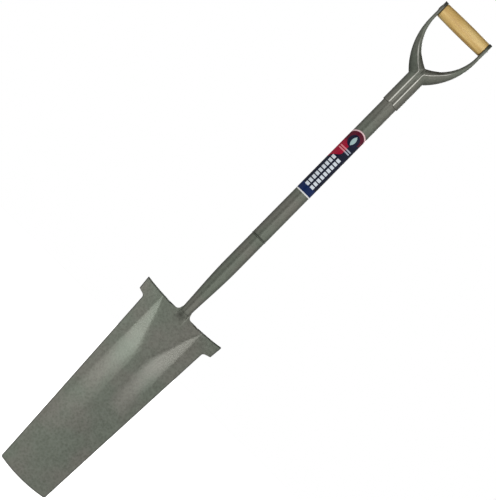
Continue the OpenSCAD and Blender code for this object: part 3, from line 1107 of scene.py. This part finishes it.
def printed_film(name):
    """Glossy film with a generic print, laid out in millimetres along the arc and up the tube."""
    paint = Paint(name)
    ruler = paint.node("UVMap", {"uv_map": "film"}).outputs[0]
    split = paint.node("SeparateXYZ", None, {0: ruler})
    up_mm = paint.number(split, 1)
    x_mm = (paint.number(split, 0) / radius_mm).sine() * radius_mm

    red_edge = red_swell * up_mm.step(*red_swells) + red_width * up_mm.step(*red_widens) + red_left
    red = up_mm.step(*red_from).least(1 - inked(x_mm - red_edge))
    wine = red * up_mm.step(*wine_from)
    rules = inked(rule_half - abs(abs(up_mm - rules_at) - rules_apart))
    rules = rules.least(inked(rule_reach - abs(x_mm + rules_left)))
    rows = inked(rows_reach - abs(up_mm - rows_at))
    rows = rows.least(inked(bar_half_wide - abs(abs(x_mm + rows_left) - rows_apart)))
    along_bar = (up_mm + bar_shift).repeat(bar_step) - bar_step / 2
    bars = rows.least(inked(bar_half_long - abs(along_bar)))
    disc_y = up_mm - disc_at
    disc = inked(disc_r - far(x_mm, disc_y * disc_squash))
    leaf_left = leaf_arc - far(x_mm - leaf_apart, disc_y)
    leaf_right = leaf_arc - far(x_mm + leaf_apart, disc_y)
    leaf = inked(leaf_left.least(leaf_right))
    hem = inked(hem_h - up_mm)
    on_arch = (up_mm - arch_at).step(0, 1)
    top_rim = inked(far(up_mm - arch_at, x_mm) - (arch_mm - rim_w)).least(on_arch)

    rule_ink = paint.blend(x_mm.step(-2, 4), rule_pink, rule_grey)
    scuff = paint.noise(900, 3, 0.6, paint.place(scale=(1, 1, 0.25)))
    scuffs_and_painted_light = scuff.step(0.66, 0.80)
    ink = paint.blend(up_mm.step(*foot_at), foot_blue, navy)
    layers = [(red, red_ink), (wine, wine_ink), (disc, disc_navy), (leaf, leaf_pale),
              (rules, rule_ink), (bars, bar_white), (hem, hem_white), (top_rim, rim_pink),
              (scuffs_and_painted_light * 0.35, scuff_grey)]
    for mask, colour in layers:
        ink = paint.blend(mask, ink, colour)
    rough = 0.26 + scuffs_and_painted_light * 0.3 + paint.noise(120) * 0.06
    return paint.finish(base_color=ink, roughness=rough, normal=paint.bump(scuff, scuff_d),
                        specular_ior_level=0.12, coat_weight=0.05, coat_roughness=0.12)


dress(printed_film("printed_film"), label)

# %% [markdown]
# ## Studio
# The tool stands on its mouth on a pale floor. Steel is mostly seen by what it mirrors, so the lights
# and the surround do the drawing. The floor glows just enough to stay white, and it is left out of
# reflections and bounced light, so that the steel doesn't pick its glow up.

# %% Floor
floor_half = 9.0
under_mouth = 0.2 * MM
floor_mesh = bpy.data.meshes.new("floor")
floor_edge = np.array([[-1, -1], [1, -1], [1, 1], [-1, 1]]) * floor_half
corners = np.column_stack([floor_edge, np.full(4, mouth_z - under_mouth)])
floor_mesh.from_pydata(corners, [], [(0, 1, 2, 3)])
floor = bpy.data.objects.new("floor", floor_mesh)
bpy.context.scene.collection.objects.link(floor)
floor.visible_diffuse = False
floor.visible_glossy = False
floor_paint = Paint("pale_floor")
dress(floor_paint.finish(base_color=(0.86, 0.86, 0.85, 1), roughness=0.9,
                         emission_color=(1, 1, 1, 1), emission_strength=1.15), floor)

# %% [markdown]
# The camera sees plain white behind the tool, but the steel mirrors a surround that is brighter in
# some directions than in others, like a room with white and black cards. A picture of a real studio
# could be wrapped round the scene for this. A product of a few smooth steps needs no file, and each
# card can be moved by one number.

# %% World
surround_colour = (1.0, 0.99, 0.95, 1)
cards = [
    # axis, start, stop, brightness before, brightness after
    ("Y", -0.6, 0.7, 1.32, 0.42),  # bright in front, dim behind
    ("Y", -1.0, -0.85, 0.88, 1.04),  # less bright straight in front
    ("X", -0.30, 0.0, 0.40, 1.0),  # a dark card a little to the left
    ("X", -0.85, -0.42, 2.2, 1.0),  # lighter again far to the left
    ("Z", 0.2, 0.75, 1.0, 0.2),  # a dark ceiling
    ("Z", -0.8, -0.1, 0.45, 1.0),  # a dim ground
]
world = bpy.data.worlds.new("studio")
bpy.context.scene.world = world
world.use_nodes = True
sky = Graph(world.node_tree)
sky.tree.nodes.clear()
direction = sky.node("SeparateXYZ", None, {0: sky.node("TexCoord").outputs["Generated"]})


def card(axis, start, stop, before, after):
    """Smooth change of the surround's brightness along one axis of the direction."""
    sockets = {"Value": direction.outputs[axis], "From Min": start, "From Max": stop,
               "To Min": before, "To Max": after}
    return sky.number(sky.node("MapRange", {"interpolation_type": "SMOOTHSTEP"}, sockets))


brightness, *others = [card(*each) for each in cards]
for other in others:
    brightness = brightness * other
surround = sky.node("Background", None, {"Color": surround_colour, "Strength": brightness})
backdrop = sky.node("Background", None, {"Color": (1, 1, 1, 1), "Strength": 1.0})
seen = sky.node("LightPath").outputs["Is Camera Ray"]
chosen = sky.node("MixShader", None, {0: seen, 1: surround.outputs[0], 2: backdrop.outputs[0]})
sky.node("OutputWorld", None, {0: chosen.outputs[0]})
bpy.context.scene.view_settings.view_transform = "Standard"
print("the surround has", len(cards), "cards and", len(sky.tree.nodes), "nodes")

# %% [markdown]
# Soft panels stand where the steel should shine. Each side panel shows as a bright band on the side
# of the trough that faces it. A weak one in front lifts the middle of the tube and the arms, and one
# behind lights the back. Point lamps or a sun would leave small hard glints on the enamel instead.

# %% Soft panels
panels_face_z = -0.6


def panel(name, bearing, height, distance, width, tall, power_w):
    """Rectangular light that stands at a bearing from the front, in degrees to the right, and
    faces the shaft at the height panels_face_z."""
    light = bpy.data.lights.new(name, "AREA")
    light.shape = "RECTANGLE"
    light.size = width
    light.size_y = tall
    light.energy = power_w
    lamp = bpy.data.objects.new(name, light)
    bearing = np.radians(bearing)
    spot = Vector((distance * np.sin(bearing), -distance * np.cos(bearing), height))
    look = (Vector((0, 0, panels_face_z)) - spot).normalized()
    lamp.matrix_world = Matrix.Translation(spot) @ look.to_track_quat("-Z", "Y").to_matrix().to_4x4()
    bpy.context.scene.collection.objects.link(lamp)
    print(name, "at", [round(c, 2) for c in spot], power_w, "W")
    return lamp


side_panel = {"height": -0.1, "distance": 2.4, "width": 0.8, "tall": 1.2, "power_w": 15}
panel_left = panel("panel_left", -42, **side_panel)
panel_right = panel("panel_right", 42, **side_panel)
panel_front = panel("panel_front", 6, height=-0.3, distance=3.0, width=0.9, tall=1.6, power_w=5.5)
panel_back = panel("panel_back", 170, height=0.4, distance=2.6, width=1.8, tall=1.4, power_w=24)

# %% [markdown]
# A studio keeps a light off a part of the subject with a flag, a black card on a stand. The side
# panels reach only the blade, the crosspiece and the floor, because the plain tube would mirror them
# as two hard lines. The front panel is kept off the blade, where it would flatten the trough, and
# off the label. Light linking does this: a collection lists the pieces that a light may reach.

# %% Flags
def reach(name, lamps, pieces):
    """Lets the lamps light these pieces only."""
    reached = bpy.data.collections.new(name)
    for piece in pieces:
        reached.objects.link(piece)
    for lamp in lamps:
        lamp.light_linking.receiver_collection = reached
    print(name, "lights", len(pieces), "pieces")


reach("lit_by_sides", [panel_left, panel_right], [blade, grip, floor])
reach("lit_by_front", [panel_front], [socket, weld, tube, yoke_right, yoke_left, rivet, grip])

# %% [markdown]
# A long lens far away keeps the outline of such a long tool nearly free of perspective. The camera
# looks straight at the hollow front and is rolled, so the shaft runs from the low left to the high
# right of the picture.

# %% Camera
view_side = 0.875
roll = np.radians(44.6)
aim_right = 1.9 * MM
aim_share = 0.4897
camera_data = bpy.data.cameras.new("camera")
camera_data.lens = 300
camera_data.sensor_width = 36
stand_off = view_side * camera_data.lens / camera_data.sensor_width
right = Vector((np.cos(roll), 0, np.sin(roll)))
up = Vector((-np.sin(roll), 0, np.cos(roll)))
aim_point = Vector((aim_right, 0, aim_share * mouth_z))
camera = bpy.data.objects.new("camera", camera_data)
turned_to = Matrix((right, up, Vector((0, -1, 0)))).transposed().to_4x4()
camera.matrix_world = Matrix.Translation(aim_point + Vector((0, -stand_off, 0))) @ turned_to
bpy.context.scene.collection.objects.link(camera)
bpy.context.scene.camera = camera
print("camera stands off", round(stand_off, 3))
